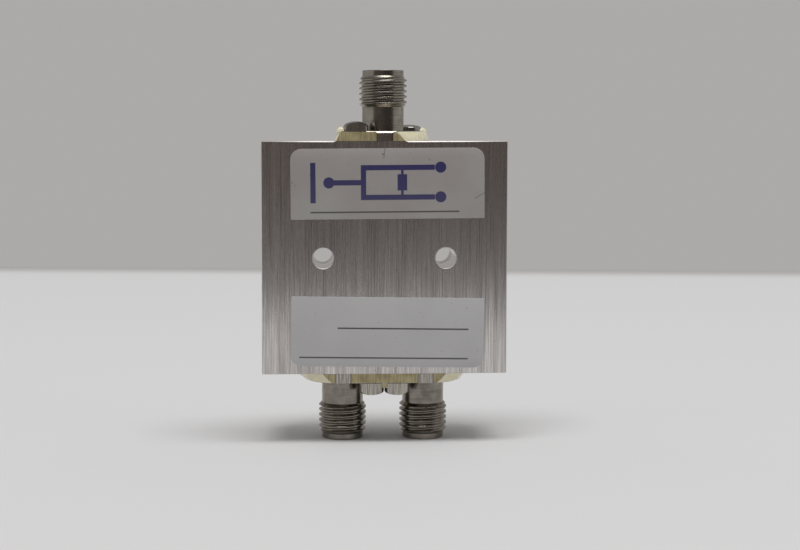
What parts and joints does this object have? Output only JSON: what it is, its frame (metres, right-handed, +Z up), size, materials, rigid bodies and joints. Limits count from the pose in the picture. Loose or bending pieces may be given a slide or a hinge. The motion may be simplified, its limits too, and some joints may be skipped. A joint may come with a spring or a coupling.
{
  "type": "coaxial power divider",
  "caption": "Two-way coaxial power divider: a flat milled aluminium block with a threaded coaxial jack on top and a pair below, through holes for mounting and a two-part label.",
  "frame": {"origin": "the middle of the part's outline, at the level of the ends of the two output jacks, on which it stands", "axes": "+X to the right, +Y from the labelled front face to the rear face, +Z up towards the input jack"},
  "size_m": [0.0318, 0.0096, 0.0485],
  "materials": {
    "block_aluminium": "brushed",
    "jack_steel": "passivated, turned",
    "screw_steel": "satin",
    "contact_gold": "plated",
    "white_insulator": "waxy",
    "board_laminate": "matte",
    "copper": "bright",
    "resistor_ceramic": "matte",
    "sealing_compound": "hard, ground flush in places",
    "label_film": "satin"
  },
  "bodies": {
    "root": {"housing": "block_aluminium", "rear_cover": "block_aluminium", "cover_screw_top_left": "screw_steel", "cover_screw_top_right": "screw_steel", "cover_screw_bottom_left": "screw_steel", "cover_screw_bottom_right": "screw_steel", "front_board": "board_laminate", "rear_board": "board_laminate", "copper_circuit": "copper", "isolation_resistor": "resistor_ceramic", "input_jack_body": "jack_steel", "input_jack_insulator": "white_insulator", "input_jack_contact": "contact_gold", "input_jack_screw_front": "screw_steel", "input_jack_screw_rear": "screw_steel", "output_jack_left_body": "jack_steel", "output_jack_left_insulator": "white_insulator", "output_jack_left_contact": "contact_gold", "output_jack_left_screw_front": "screw_steel", "output_jack_left_screw_rear": "screw_steel", "output_jack_right_body": "jack_steel", "output_jack_right_insulator": "white_insulator", "output_jack_right_contact": "contact_gold", "output_jack_right_screw_front": "screw_steel", "output_jack_right_screw_rear": "screw_steel", "input_seal_left": "sealing_compound", "input_seal_right": "sealing_compound", "output_seal_left": "sealing_compound", "output_seal_centre": "sealing_compound", "output_seal_right": "sealing_compound", "upper_label": "label_film", "lower_label": "label_film"}
  },
  "joints": []
}
